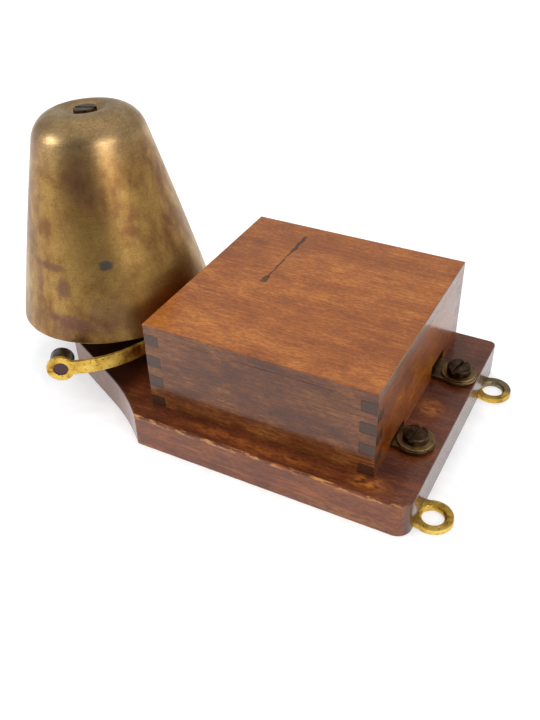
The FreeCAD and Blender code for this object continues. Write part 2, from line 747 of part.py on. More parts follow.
# Cores, bobbins, windings and the yoke that joins the cores
coil_xs = [-coil_spacing / 2.0, coil_spacing / 2.0]
core_length = yoke_front - core_face
cores = []
bobbins = []
windings = []
core_screws = []
screw_length = yoke_thickness + core_screw_depth
for x, turn in zip(coil_xs, small_slot_turns):
    core = rod(core_radius, core_length, V(x, core_face, arm_z), Y)
    core = core.cut(rod(pillar_screw_radius + thread_gap, core_screw_depth + thread_gap,
                        V(x, yoke_front - core_screw_depth - thread_gap, arm_z), Y))
    cores.append(core)
    start = core_face + core_nose
    spool = rod(core_radius + seat_gap + bobbin_wall, bobbin_length, V(x, start, arm_z), Y)
    flange = rod(bobbin_flange_radius, flange_thickness, V(x, start, arm_z), Y)
    back_flange = rod(bobbin_flange_radius, flange_thickness,
                      V(x, start + bobbin_length - flange_thickness, arm_z), Y)
    spool = spool.fuse([flange, back_flange]).removeSplitter()
    bobbins.append(spool.cut(rod(core_radius + seat_gap, bobbin_length, V(x, start, arm_z), Y)))
    windings.append(tube(winding_radius, core_radius + seat_gap + bobbin_wall,
                         bobbin_length - 2 * flange_thickness, V(x, start + flange_thickness, arm_z), Y))
    screw = machine_screw(pillar_head_radius, pillar_head_height, pillar_screw_radius, screw_length, turn)
    core_screws.append(lay(screw, V(x, yoke_front + yoke_thickness, arm_z), Y))
save("magnet_cores", *cores)
save("coil_bobbins", *bobbins)
save("coil_windings", *windings)
save("core_screws", *core_screws)
yoke_top = arm_z + yoke_above_axis
yoke = box(-yoke_length / 2.0, yoke_length / 2.0, yoke_front, yoke_front + yoke_thickness, top, yoke_top)
yoke_foot = box(-yoke_length / 2.0, yoke_length / 2.0, yoke_front, yoke_front + yoke_foot_depth,
                top, top + yoke_foot_thickness)
yoke = yoke.fuse(yoke_foot).removeSplitter()
for x in coil_xs:
    yoke = yoke.cut(rod(pillar_screw_radius + thread_gap, yoke_thickness, V(x, yoke_front, arm_z), Y))
for point in yoke_holes:
    yoke = yoke.cut(rod(wood_screw_radius + thread_gap, yoke_foot_thickness, V(point.x, point.y, top)))
save("magnet_yoke", yoke)


def round_wood_screw(length, turn):
    # A cheese-head wood screw with the underside of its head at height zero
    point = wood_screw_radius * point_share
    head = slotted_head(wood_head_radius, wood_head_height, V(0, 0, 0),
                        small_slot_width, small_slot_depth, turn)
    shank = rod(wood_screw_radius, length - point, V(0, 0, -length + point))
    tip = Part.makeCone(wood_screw_radius * point_end_share, wood_screw_radius, point, V(0, 0, -length))
    return head.fuse([shank, tip]).removeSplitter()


save("yoke_screws", *[lay(round_wood_screw(wood_screw_length, turn), point, Z)
                      for point, turn in zip(yoke_holes, small_slot_turns)])

# Terminal strips, each a round lug outside, a wide neck in the notch and a flat strip under the cover
strips = []
collars = []
for point, hole in zip(terminals, strip_holes):
    z0 = top + lug_lift
    lug = rod(lug_radius, lug_thickness, V(point.x, point.y, z0))
    bar = box(strip_inner_x, point.x, point.y - strip_width / 2.0, point.y + strip_width / 2.0,
              z0, z0 + lug_thickness)
    neck = box(inner + cover_gap, point.x, point.y - strip_neck_width / 2.0,
               point.y + strip_neck_width / 2.0, z0, z0 + lug_thickness)
    piece = lug.fuse([bar, neck]).removeSplitter()
    piece = piece.cut(rod(terminal_screw_radius + thread_gap, lug_thickness, V(point.x, point.y, z0)))
    piece = piece.cut(rod(wood_screw_radius + thread_gap, lug_thickness, V(hole.x, hole.y, z0)))
    strips.append(piece)
    collars.append(tube(lug_collar_radius, terminal_screw_radius + thread_gap, lug_lift, point))
    collars.append(tube(strip_collar_radius, wood_screw_radius + thread_gap, lug_lift,
                        V(hole.x, hole.y, top)))
save("near_terminal_strip", strips[0])
save("far_terminal_strip", strips[1])
save("terminal_strip_collars", *collars)
save("terminal_strip_screws", *[lay(round_wood_screw(wood_screw_length, turn), point, Z)
                                for point, turn in zip(strip_holes, small_slot_turns)])
for name, point, turn in zip(("near", "far"), terminals, terminal_slot_turns):
    lug_top = V(point.x, point.y, top + lug_lift + lug_thickness)
    washer = tube(terminal_washer_radius, terminal_screw_radius + thread_gap, washer_thickness, lug_top)
    save(name + "_terminal_washer", washer)
    head_base = lug_top + V(0, 0, washer_thickness)
    head = slotted_head(terminal_head_radius, terminal_head_height, V(0, 0, 0),
                        slot_width, slot_depth, turn)
    body = head.fuse(rod(terminal_screw_radius, terminal_screw_depth, V(0, 0, -terminal_screw_depth)))
    save(name + "_terminal_screw", lay(body.removeSplitter(), head_base, Z))

# Hanging plates and their screws
for name, eye in zip(("near", "far"), eyes):
    plate = plate_blank(eye, 0.0)
    plate = plate.cut(rod(plate_hole_radius, plate_thickness, eye))
    plate = plate.cut(Part.makeCone(plate_hole_radius, plate_hole_radius + plate_countersink,
                                    plate_countersink, eye + V(0, 0, plate_thickness - plate_countersink)))
    for point in plate_screws:
        if point.y == eye.y:
            hole = flat_screw_hole(wood_head_radius, wood_head_height, wood_screw_radius,
                                   plate_screw_length, thread_gap)
            plate = plate.cut(lay(hole, point, V(0, 0, -1)))
    save(name + "_hanging_plate", plate)
save("hanging_plate_screws",
     *[lay(flat_screw(wood_head_radius, wood_head_height, wood_screw_radius, plate_screw_length, turn),
           point, V(0, 0, -1)) for point, turn in zip(plate_screws, plate_slot_turns)])

# Screws from the back into the gong pillar, the spring post and the contact post
pillar_screw_set = []
reaches = (pillar_screw_reach, pillar_screw_reach, contact_post_screw_reach)
for point, reach, turn in zip(pillar_points, reaches, pillar_slot_turns):
    head_top = V(point.x, point.y, pillar_screw_recess + pillar_head_height)
    length = top + reach - head_top.z
    screw = machine_screw(pillar_head_radius, pillar_head_height, pillar_screw_radius, length, turn)
    pillar_screw_set.append(lay(screw, head_top, V(0, 0, -1)))
save("pillar_screws", *pillar_screw_set)

# Leads from the strips to the coils and the two posts
run_z = top + lug_lift + lug_thickness / 2.0
winding_front = core_face + core_nose + flange_thickness
strip_edge_y = near_terminal_y - strip_width / 4.0
contact_post_face = contact_post.x + half_post
save("lead_strip_to_contact_post",
     lead([V(strip_inner_x, strip_edge_y, run_z), V(strip_inner_x - lead_run, strip_edge_y, run_z),
           V(contact_post_face + lead_last_run, contact_post.y, run_z),
           V(contact_post_face, contact_post.y, run_z)],
          lead_bend))
coil_side = coil_spacing / 2.0 + winding_radius
lead_drop_x = coil_side + lead_from_coil
post_lead_y = winding_front + lead_from_flange
save("lead_coil_to_spring_post",
     lead([V(coil_side + thread_gap, post_lead_y, arm_z), V(lead_drop_x, post_lead_y, arm_z),
           V(lead_drop_x, post_lead_y, run_z), V(post_mid.x, post_lead_y, run_z),
           V(post_mid.x, armature_front + post_depth, run_z)], lead_bend))
lead_back_y = yoke_front + yoke_foot_depth + lead_behind_yoke
save("lead_coil_to_far_strip",
     lead([V(-coil_side - thread_gap, post_lead_y, arm_z), V(-lead_drop_x, post_lead_y, arm_z),
           V(-lead_drop_x, post_lead_y, run_z), V(-lead_drop_x, lead_back_y, run_z),
           V(strip_inner_x + lead_strip_inset, lead_back_y, run_z),
           V(strip_inner_x + lead_strip_inset, far_terminal_y + strip_width / 2.0, run_z)], lead_bend))
between = coil_spacing / 2.0 - winding_radius
save("lead_between_coils",
     rod(lead_radius, 2.0 * between, V(-between, post_lead_y, arm_z), X))
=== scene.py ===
import json
import math

import bmesh
import bpy
from mathutils import Matrix, Vector


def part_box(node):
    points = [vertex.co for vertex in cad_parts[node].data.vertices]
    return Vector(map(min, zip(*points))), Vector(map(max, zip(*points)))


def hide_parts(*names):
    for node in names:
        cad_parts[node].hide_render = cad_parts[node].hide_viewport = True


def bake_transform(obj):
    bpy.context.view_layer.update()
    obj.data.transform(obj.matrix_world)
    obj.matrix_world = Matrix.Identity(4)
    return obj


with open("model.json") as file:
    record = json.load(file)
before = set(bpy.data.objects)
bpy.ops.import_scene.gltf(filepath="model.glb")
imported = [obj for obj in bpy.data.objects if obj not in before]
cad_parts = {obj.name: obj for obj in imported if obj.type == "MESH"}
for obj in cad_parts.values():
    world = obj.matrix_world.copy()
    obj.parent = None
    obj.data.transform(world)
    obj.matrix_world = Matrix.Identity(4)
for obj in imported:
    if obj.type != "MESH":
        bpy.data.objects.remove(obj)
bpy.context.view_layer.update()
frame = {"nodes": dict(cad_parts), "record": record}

# Shaders work in millimetres, the scene in metres
MM = 1000.0

# Places on the object, in the frame's millimetres
LID_UNDERSIDE = 46.7
LID_TOP = 51.0
BOARD_TOP = 14.3
BOARD_NEAR = -54.1
COVER_END = 45.0
# Where the painted shadow on the tongue's top is full, and where it has faded out
TONGUE_DARK = -66.0
TONGUE_LIGHT = -54.0
# Where a slot in the terminal end is painted as shade, and its size
END_SLOT = (COVER_END, 38.0, 42.2)
END_SLOT_SIZE = (2.0, 0.8, 1.4)
STROKE_X = -19.4
STROKE_NEAR_Y = -2.0
STROKE_FAR_Y = 37.0
FAR_EYE_X = 65.3
FAR_EYE_Y = 35.0
SHANK_END = (-79.9, -54.0, 24.8)
SHANK_END_SIZE = (3.3, 2.6, 3.3)

# The gong: its mouth's centre, its axis, and how high its body ends and its crown begins
GONG_MOUTH = (-89.2, -2.2, 26.0)
GONG_AXIS = (-0.072542, 0.042573, 0.996456)
GONG_BODY_ENDS = 60.0
GONG_CROWN_BEGINS = 76.0
DENT = (-72.5, -27.5, 58.3)
DENT_SIZE = (2.8, 2.4, 1.9)

# Stains on the gong: centre, size and strength
GONG_STAINS = (((-95.3, -33.7, 55.9), (8.5, 4.0, 1.5), 0.60),
               ((-100.0, -34.0, 49.6), (1.8, 3.0, 5.0), 0.50),
               ((-88.0, -36.1, 48.4), (3.4, 3.0, 4.2), 0.75),
               ((-84.1, -39.3, 36.0), (9.5, 5.0, 2.6), 0.75),
               ((-88.0, -40.5, 31.0), (5.0, 5.0, 4.0), 0.50),
               ((-69.5, -32.9, 39.4), (9.0, 8.0, 6.5), 0.42),
               ((-106.6, -17.5, 96.5), (6.0, 8.0, 5.0), 0.45),
               ((-82.5, -24.5, 88.0), (9.0, 8.0, 7.0), 0.30))

# Pitch of the wound silk in millimetres, and how fast the cotton's weave repeats
SILK_PITCH = 0.55
WEAVE_RATE = 9.0

# How much the floor glows to the camera and in reflections, and the side where the room is dim
GLOW_TO_CAMERA = 0.44
GLOW_IN_GLOSS = 0.50
DIM_SIDE = (0.30, -0.94, 0.12)

# Lamps: name, place, aim, size in metres, power in watts, and whether reflections show them
LAMPS = (("overhead", (-0.30, 0.02, 1.1), (0, 0, 0.03), (1.9, 1.5), 11.8, False),
         ("left_window", (-0.80, -0.62, 0.48), (-0.095, -0.02, 0.10), (0.34, 0.28), 2.5, True),
         ("right_window", (0.76, -0.38, 0.50), (-0.077, -0.012, 0.10), (0.50, 0.24), 3.0, True))


def srgb(r, g, b):
    """A colour written as 0 to 255, as the linear values that sockets take."""
    def one(c):
        c = c / 255.0
        return c / 12.92 if c <= 0.04045 else ((c + 0.055) / 1.055) ** 2.4
    return one(r), one(g), one(b)


def shade(colour, factor):
    """A colour made darker or lighter by a factor."""
    return tuple(min(1.0, c * factor) for c in colour)


class Shader:
    """A node tree for one material, with short calls for the nodes used here."""

    def __init__(self, name):
        self.m = bpy.data.materials.new(name)
        self.m.use_nodes = True
        self.t = self.m.node_tree
        self.t.nodes.clear()
        out = self.node("ShaderNodeOutputMaterial")
        self.bsdf = self.node("ShaderNodeBsdfPrincipled")
        self.t.links.new(self.bsdf.outputs[0], out.inputs[0])
        coords = self.node("ShaderNodeTexCoord")
        scaled = self.node("ShaderNodeVectorMath", operation="SCALE")
        self.t.links.new(coords.outputs["Object"], scaled.inputs[0])
        scaled.inputs["Scale"].default_value = MM
        self.p = scaled.outputs[0]
        self.normal = coords.outputs["Normal"]

    def node(self, kind, **props):
        n = self.t.nodes.new(kind)
        for k, v in props.items():
            setattr(n, k, v)
        return n

    def put(self, socket, value):
        if isinstance(value, bpy.types.NodeSocket):
            self.t.links.new(value, socket)
        elif isinstance(value, (tuple, list)) and socket.type == "RGBA" and len(value) == 3:
            socket.default_value = (*value, 1.0)
        else:
            socket.default_value = value

    def math(self, op, a, b=0.0):
        n = self.node("ShaderNodeMath", operation=op)
        self.put(n.inputs[0], a)
        self.put(n.inputs[1], b)
        return n.outputs[0]

    def add(self, a, b):
        return self.math("ADD", a, b)

    def mul(self, a, b):
        return self.math("MULTIPLY", a, b)

    def vec(self, op, a, b):
        n = self.node("ShaderNodeVectorMath", operation=op)
        self.put(n.inputs[0], a)
        self.put(n.inputs[1], b)
        return n.outputs["Value"] if op in ("DOT_PRODUCT", "LENGTH", "DISTANCE") else n.outputs[0]

    def mapped(self, vector, scale=(1, 1, 1), loc=(0, 0, 0), rot=(0, 0, 0)):
        n = self.node("ShaderNodeMapping")
        self.put(n.inputs["Vector"], vector)
        n.inputs["Scale"].default_value = scale
        n.inputs["Location"].default_value = loc
        n.inputs["Rotation"].default_value = rot
        return n.outputs[0]

    def noise(self, vector, scale=1.0, detail=2.0, rough=0.5, distortion=0.0):
        n = self.node("ShaderNodeTexNoise")
        self.put(n.inputs["Vector"], vector)
        n.inputs["Scale"].default_value = scale
        n.inputs["Detail"].default_value = detail
        n.inputs["Roughness"].default_value = rough
        n.inputs["Distortion"].default_value = distortion
        return n.outputs["Fac"]

    def figure(self, vector, scale, detail, rough, distortion=0.0, loc=(0, 0, 0), rot=(0, 0, 0)):
        """Noise stretched along the axes: its scale on each is in cycles per millimetre."""
        return self.noise(self.mapped(vector, scale, loc, rot), 1.0, detail, rough, distortion)

    def voronoi(self, vector, scale=1.0):
        n = self.node("ShaderNodeTexVoronoi")
        self.put(n.inputs["Vector"], vector)
        n.inputs["Scale"].default_value = scale
        return n.outputs["Distance"]

    def step(self, value, low, high, to_low=0.0, to_high=1.0):
        n = self.node("ShaderNodeMapRange", interpolation_type="SMOOTHSTEP")
        self.put(n.inputs["Value"], value)
        n.inputs["From Min"].default_value = low
        n.inputs["From Max"].default_value = high
        n.inputs["To Min"].default_value = to_low
        n.inputs["To Max"].default_value = to_high
        return n.outputs["Result"]

    def ramp(self, fac, stops):
        n = self.node("ShaderNodeValToRGB")
        self.put(n.inputs["Fac"], fac)
        r = n.color_ramp
        while len(r.elements) < len(stops):
            r.elements.new(0.5)
        for e, (pos, col) in zip(r.elements, stops):
            e.position = pos
            e.color = (*col, 1.0)
        return n.outputs["Color"]

    def mix(self, fac, a, b):
        n = self.node("ShaderNodeMix", data_type="RGBA")
        self.put(n.inputs[0], fac)
        self.put(n.inputs[6], a)
        self.put(n.inputs[7], b)
        return n.outputs[2]

    def split(self, vector):
        n = self.node("ShaderNodeSeparateXYZ")
        self.put(n.inputs[0], vector)
        return n.outputs

    def join(self, x, y, z):
        n = self.node("ShaderNodeCombineXYZ")
        for i, v in enumerate((x, y, z)):
            self.put(n.inputs[i], v)
        return n.outputs[0]

    def edge(self, radius_mm, low, high):
        """1 along edges and 0 on flats, from how far a bevel would turn the normal."""
        bevel = self.node("ShaderNodeBevel", samples=6)
        bevel.inputs["Radius"].default_value = radius_mm / MM
        geometry = self.node("ShaderNodeNewGeometry")
        dot = self.vec("DOT_PRODUCT", bevel.outputs[0], geometry.outputs["Normal"])
        return self.step(self.math("SUBTRACT", 1.0, dot), low, high)

    def bump(self, height, strength, distance_mm, bevel_mm=0.0):
        n = self.node("ShaderNodeBump")
        self.put(n.inputs["Height"], height)
        n.inputs["Strength"].default_value = strength
        n.inputs["Distance"].default_value = distance_mm / MM
        if bevel_mm:
            b = self.node("ShaderNodeBevel", samples=6)
            b.inputs["Radius"].default_value = bevel_mm / MM
            self.put(n.inputs["Normal"], b.outputs[0])
        return n.outputs[0]

    def patch(self, centre, radii, soft=0.35, wobble=0.5, scale=0.25):
        """1 inside an egg-shaped patch round a point, with a noisy outline, and 0 outside it."""
        away = self.mapped(self.vec("SUBTRACT", self.p, centre), tuple(1.0 / r for r in radii))
        d = self.vec("LENGTH", away, (0, 0, 0))
        n = self.noise(self.p, scale, 3.0, 0.65)
        d = self.add(d, self.mul(self.math("SUBTRACT", n, 0.5), wobble * 2.0))
        return self.step(d, 1.0 - soft, 1.0 + soft, 1.0, 0.0)

    def set(self, **values):
        names = {"color": "Base Color", "metal": "Metallic", "rough": "Roughness", "normal": "Normal",
                 "coat": "Coat Weight", "coat_rough": "Coat Roughness", "coat_normal": "Coat Normal",
                 "coat_ior": "Coat IOR", "spec": "Specular IOR Level", "sheen": "Sheen Weight"}
        for k, v in values.items():
            self.put(self.bsdf.inputs[names[k]], v)
        return self.m


def stroke(s, x, y, z):
    """The dark stroke on the lid: thick at its far end, thin and broken between, a blot at the near end."""
    waver = s.figure(s.p, (0.25, 0.25, 0.25), detail=3.0, rough=0.6)
    line_x = s.add(x, s.mul(s.math("SUBTRACT", waver, 0.5), 2.0))
    off = s.math("ABSOLUTE", s.math("SUBTRACT", line_x, STROKE_X))
    far_part = s.step(y, 20.0, 27.0)
    blot = s.step(y, 2.2, 3.4, 1.0, 0.0)
    width = s.add(s.add(0.42, s.mul(far_part, 0.38)), s.mul(blot, 1.15))
    inside = s.step(s.math("DIVIDE", off, width), 0.6, 1.15, 1.0, 0.0)
    along = s.mul(s.step(y, STROKE_NEAR_Y - 0.8, STROKE_NEAR_Y + 0.6),
                  s.step(y, STROKE_FAR_Y - 1.2, STROKE_FAR_Y + 0.6, 1.0, 0.0))
    gaps = s.step(s.figure(s.p, (0.6, 0.4, 0.5), detail=3.0, rough=0.7), 0.36, 0.50)
    ink = s.math("MAXIMUM", gaps, s.math("MAXIMUM", s.mul(blot, 0.85), s.mul(far_part, 0.9)))
    mark = s.mul(s.mul(inside, along), ink)
    return s.mul(mark, s.step(z, LID_TOP - 0.9, LID_TOP - 0.3))


def wood(name, grain, tones, end_tones, worn_tone, seed, side_tones=None, side_below=None,
         side_of_board=False, wear=0.6, wear_above=None, top_end_tones=None, marks=()):
    """Varnished wood with its grain along an axis, and end grain on the faces across it."""
    s = Shader(name)
    x, y, z = s.split(s.p)
    g, a, b = ((x, y, z), (y, x, z), (z, x, y))[grain]
    v = s.join(s.add(g, seed * 37.0), a, b)
    slow = s.figure(v, (0.012, 0.045, 0.045), detail=3.0, rough=0.55, distortion=0.8)
    streaks = s.figure(v, (0.085, 1.15, 1.15), detail=4.0, rough=0.68, distortion=0.3)
    mottle = s.figure(v, (0.10, 0.17, 0.17), detail=5.0, rough=0.66, loc=(4, 8, 2))
    pores = s.step(s.figure(v, (0.30, 4.2, 4.2), detail=2.0, rough=0.6), 0.58, 0.72)
    fine = s.step(s.figure(v, (0.55, 2.3, 2.3), detail=3.0, rough=0.7, loc=(7, 1, 5)), 0.40, 0.60, 0.55, 0.0)
    light_flecks = s.step(s.voronoi(s.mapped(v, (0.40, 1.5, 1.5))), 0.08, 0.22, 1.0, 0.0)
    tone = s.add(s.mul(slow, 0.34), s.add(s.mul(streaks, 0.32), s.mul(mottle, 0.34)))

    def tint(colours):
        deep, mid, light = colours
        col = s.ramp(tone, [(0.41, deep), (0.51, mid), (0.61, light)])
        col = s.mix(fine, col, shade(deep, 0.62))
        col = s.mix(s.mul(pores, 0.45), col, shade(deep, 0.50))
        return s.mix(s.mul(light_flecks, 0.2), col, shade(light, 1.45))

    base = tint(tones)
    nx, ny, nz = s.split(s.normal)
    if side_tones:
        if side_of_board:
            is_side = s.step(s.math("ABSOLUTE", nz), 0.45, 0.75, 1.0, 0.0)
        else:
            is_side = s.step(z, side_below - 0.15, side_below + 0.15, 1.0, 0.0)
        base = s.mix(is_side, base, tint(side_tones))
    for mark, colour, weight in marks:
        base = s.mix(s.mul(mark(s, x, y, z), weight), base, colour)
    # End grain, on the faces whose normal runs along the grain
    facing = s.step(s.math("ABSOLUTE", (nx, ny, nz)[grain]), 0.6, 0.85)
    speck = s.figure(s.p, (2.2, 2.2, 2.2), detail=3.0, rough=0.7)
    end_colour = s.ramp(speck, [(0.35, end_tones[0]), (0.68, end_tones[1])])
    if top_end_tones:
        end_colour = s.mix(s.step(z, LID_UNDERSIDE - 0.1, LID_UNDERSIDE + 0.1), end_colour,
                           s.ramp(speck, [(0.35, top_end_tones[0]), (0.68, top_end_tones[1])]))
    base = s.mix(facing, base, end_colour)
    # Worn edges, broken up by noise, and broad darker places
    rub = s.figure(s.p, (0.30, 0.30, 0.30), detail=4.0, rough=0.7)
    worn = s.mul(s.edge(0.8, 0.03, 0.14), s.step(rub, 0.44, 0.58))
    if wear_above is not None:
        worn = s.mul(worn, s.step(z, wear_above - 0.3, wear_above + 0.3))
    base = s.mix(s.mul(worn, wear), base, worn_tone)
    dirt = s.figure(s.p, (0.07, 0.07, 0.07), detail=4.0, rough=0.6, loc=(11, 3, 7))
    base = s.mix(s.step(dirt, 0.54, 0.76, 0.0, 0.30), base, shade(tones[0], 0.55))
    peel = s.figure(s.p, (0.22, 0.22, 0.22), detail=3.0, rough=0.5)
    relief = s.add(s.mul(peel, 0.5), s.mul(pores, -0.35))
    return s.set(color=base, rough=s.step(mottle, 0.35, 0.65, 0.42, 0.56), spec=0.12,
                 normal=s.bump(relief, 0.30, 0.10, bevel_mm=0.35), coat=0.8, coat_rough=0.17, coat_ior=1.52,
                 coat_normal=s.bump(peel, 0.20, 0.11, bevel_mm=0.35))


def painted_shadow_tongue(s, x, y, z):
    """Painted shadow: the tongue's top under the gong, drawn nearly black where the gong shades it."""
    return s.mul(s.step(x, TONGUE_DARK, TONGUE_LIGHT, 1.0, 0.0),
                 s.step(z, BOARD_TOP - 0.6, BOARD_TOP - 0.2))


def worn_patch(centre, radii):
    """A mark where the varnish is rubbed through in a patch."""
    def mark(s, x, y, z):
        rubbed = s.step(s.figure(s.p, (0.35, 0.8, 0.8), detail=2.0, rough=0.5), 0.30, 0.70)
        return s.mul(s.patch(centre, radii, 0.8, 0.35, 0.30), rubbed)
    return mark


def streaked_side(s, x, y, z):
    """Orange streaks along the board's near side, where the varnish is rubbed."""
    streak = s.step(s.figure(s.p, (0.05, 0.6, 0.55), detail=4.0, rough=0.65, loc=(3, 1, 9)), 0.52, 0.64)
    return s.mul(streak, s.step(y, BOARD_NEAR + 0.2, BOARD_NEAR + 1.2, 1.0, 0.0))


def rubbed_edge(s, x, y, z):
    """The top edge of the board's near side, chipped and rubbed to bare wood in places."""
    chips = s.step(s.figure(s.p, (0.16, 0.5, 0.5), detail=3.0, rough=0.6, loc=(5, 2, 8)), 0.50, 0.60)
    near = s.step(y, BOARD_NEAR + 0.3, BOARD_NEAR + 1.1, 1.0, 0.0)
    return s.mul(s.mul(chips, near), s.step(z, BOARD_TOP - 2.2, BOARD_TOP - 0.8))


def painted_shade_end_slot(s, x, y, z):
    """A small slot near the far top corner of the terminal end, drawn as a dark spot: painted shade in place
    of the hole.
    """
    return s.mul(s.patch(END_SLOT, END_SLOT_SIZE, 0.3, 0.3), s.step(x, COVER_END - 0.4, COVER_END - 0.1))


def metal(name, base_col, dark_col, bright_col, rough=(0.28, 0.45), patch=0.12, fine=1.6, relief=0.3,
          edge_bright=0.5, seed=0.0, spots=0.0, cast=False, marks=()):
    """Aged metal: cloudy colour, grit, brighter worn edges, and pits where it is cast."""
    s = Shader(name)
    x, y, z = s.split(s.p)
    v = s.mapped(s.p, (1, 1, 1), (seed * 13.0, seed * 7.0, seed * 5.0))
    slow = s.noise(v, patch, 4.0, 0.6, 0.3)
    grit = s.noise(v, fine, 4.0, 0.7)
    col = s.ramp(slow, [(0.32, dark_col), (0.52, base_col), (0.75, bright_col)])
    col = s.mix(s.step(grit, 0.55, 0.75, 0.0, 0.5), col, dark_col)
    for mark, colour, weight in marks:
        col = s.mix(s.mul(mark(s, x, y, z), weight), col, colour)
    worn = s.mul(s.edge(0.35, 0.03, 0.2), s.step(s.noise(v, 0.7, 3.0, 0.6), 0.35, 0.6))
    col = s.mix(s.mul(worn, edge_bright), col, shade(bright_col, 1.4))
    if spots:
        d = s.voronoi(v, 0.55)
        col = s.mix(s.mul(s.step(d, 0.12, 0.26, 1.0, 0.0), spots), col, shade(dark_col, 0.3))
    height = s.add(s.mul(grit, 0.6), s.mul(s.noise(v, 5.0, 3.0, 0.6), 0.4))
    if cast:
        pits = s.step(s.voronoi(v, 1.3), 0.05, 0.45)
        height = s.add(s.mul(height, 0.6), s.mul(pits, 0.5))
    return s.set(color=col, metal=1.0, rough=s.step(slow, 0.3, 0.7, rough[0], rough[1]),
                 normal=s.bump(height, relief, 0.25 if cast else 0.06, bevel_mm=0.25))


def grey_far_eye(s, x, y, z):
    """Grey tarnish on the half of the far hanging eye that lies away from the near side."""
    return s.mul(s.step(y, FAR_EYE_Y - 1.5, FAR_EYE_Y + 1.5), s.step(x, FAR_EYE_X - 9.0, FAR_EYE_X - 7.0))


def shank_end(s, x, y, z):
    """The end of the hammer's shank, in the arm's eye."""
    return s.patch(SHANK_END, SHANK_END_SIZE, 0.1, 0.05)


def gong_brass():
    """Aged brass turned on a lathe: fine brushing, an olive body, grey-gold shoulder and purple stains."""
    s = Shader("gong_brass")
    tilt = Vector(GONG_AXIS).rotation_difference(Vector((0, 0, 1))).to_euler()
    local = s.mapped(s.vec("SUBTRACT", s.p, GONG_MOUTH), rot=tuple(tilt))
    height_up = s.split(local)[2]
    rings = s.figure(local, (0.10, 0.10, 2.6), detail=3.0, rough=0.7)
    brush = s.figure(local, (1.5, 1.5, 1.7), detail=3.0, rough=0.75, loc=(2, 5, 3))
    cloud = s.figure(local, (0.040, 0.040, 0.028), detail=4.0, rough=0.62, distortion=0.5)
    mottle = s.figure(local, (0.16, 0.16, 0.12), detail=4.0, rough=0.65, loc=(9, 4, 2))
    tone = s.add(s.mul(cloud, 0.6), s.mul(mottle, 0.4))
    low, middle, high = 0.40, 0.50, 0.60
    body = s.ramp(tone, [(low, srgb(132, 94, 56)), (middle, srgb(164, 127, 72)), (high, srgb(186, 149, 84))])
    crown = s.ramp(tone, [(low, srgb(164, 132, 92)), (middle, srgb(184, 153, 108)),
                          (high, srgb(200, 170, 122))])
    col = s.mix(s.step(height_up, GONG_BODY_ENDS, GONG_CROWN_BEGINS), body, crown)
    col = s.mix(s.step(rings, 0.42, 0.68, 0.0, 0.22), col, srgb(120, 90, 56))
    col = s.mix(s.step(brush, 0.44, 0.62, 0.0, 0.36), col, srgb(112, 84, 54))
    # Purple-brown stains on the side towards the hammer, and faint ones all round
    for centre, radii, weight in GONG_STAINS:
        col = s.mix(s.mul(s.patch(centre, radii, 0.5, 0.8), weight), col, srgb(112, 76, 70))
    drift = s.step(s.figure(local, (0.07, 0.07, 0.045), detail=4.0, rough=0.7, loc=(3, 8, 1)), 0.55, 0.72)
    col = s.mix(s.mul(drift, 0.40), col, srgb(118, 82, 62))
    speck = s.step(s.figure(local, (0.60, 0.60, 0.50), detail=3.0, rough=0.6), 0.66, 0.74)
    col = s.mix(s.mul(speck, 0.40), col, srgb(92, 62, 42))
    scratches = s.figure(local, (0.35, 0.35, 4.0), detail=2.0, rough=0.6, loc=(5, 5, 5), rot=(0.12, 0.2, 0))
    scratch = s.step(scratches, 0.68, 0.75)
    col = s.mix(s.mul(scratch, 0.30), col, srgb(220, 192, 132))
    dent = s.patch(DENT, DENT_SIZE, 0.35, 0.5, 0.5)
    col = s.mix(s.mul(dent, 0.85), col, srgb(84, 84, 84))
    height = s.add(s.add(s.mul(rings, 0.5), s.mul(brush, 0.45)), s.add(s.mul(mottle, 0.3), s.mul(dent, -1.2)))
    rough = s.add(s.step(tone, 0.35, 0.65, 0.40, 0.33), s.mul(drift, 0.10))
    return s.set(color=col, metal=1.0, rough=rough, normal=s.bump(height, 0.22, 0.12))


def plain(name, colour, rough, scale, vary, relief):
    """A dull moulded surface, cloudy in colour."""
    s = Shader(name)
    n = s.noise(s.p, scale, 4.0, 0.6)
    c = s.ramp(n, [(0.3, shade(colour, 1 - vary)), (0.7, shade(colour, 1 + vary))])
    grit = s.noise(s.p, scale * 5, 3.0)
    return s.set(color=c, rough=rough, normal=s.bump(grit, relief, 0.08, bevel_mm=0.2))


def silk():
    """Silk-covered wire wound close: even turns round the coil's axis, along Y."""
    s = Shader("winding_silk")
    along = s.split(s.p)[1]
    turns = s.math("SINE", s.mul(along, 2 * math.pi / SILK_PITCH))
    col = s.ramp(s.noise(s.p, 1.2, 3.0, 0.6), [(0.3, srgb(34, 66, 36)), (0.7, srgb(62, 98, 56))])
    # The grooves between turns are darkened: painted shade.
    col = s.mix(s.step(turns, -1.0, -0.3, 0.6, 0.0), col, srgb(16, 32, 18))
    return s.set(color=col, rough=0.6, sheen=0.3, normal=s.bump(turns, 0.7, 0.12))


def cotton():
    """Cotton-covered lead wire, with a slanting weave."""
    s = Shader("lead_cotton")
    x, y, z = s.split(s.p)
    weave = s.math("SINE", s.mul(s.add(s.add(x, y), z), WEAVE_RATE))
    col = s.mix(s.step(weave, -0.6, 0.6), srgb(96, 28, 20), srgb(140, 52, 36))
    return s.set(color=col, rough=0.8, normal=s.bump(weave, 0.5, 0.1))


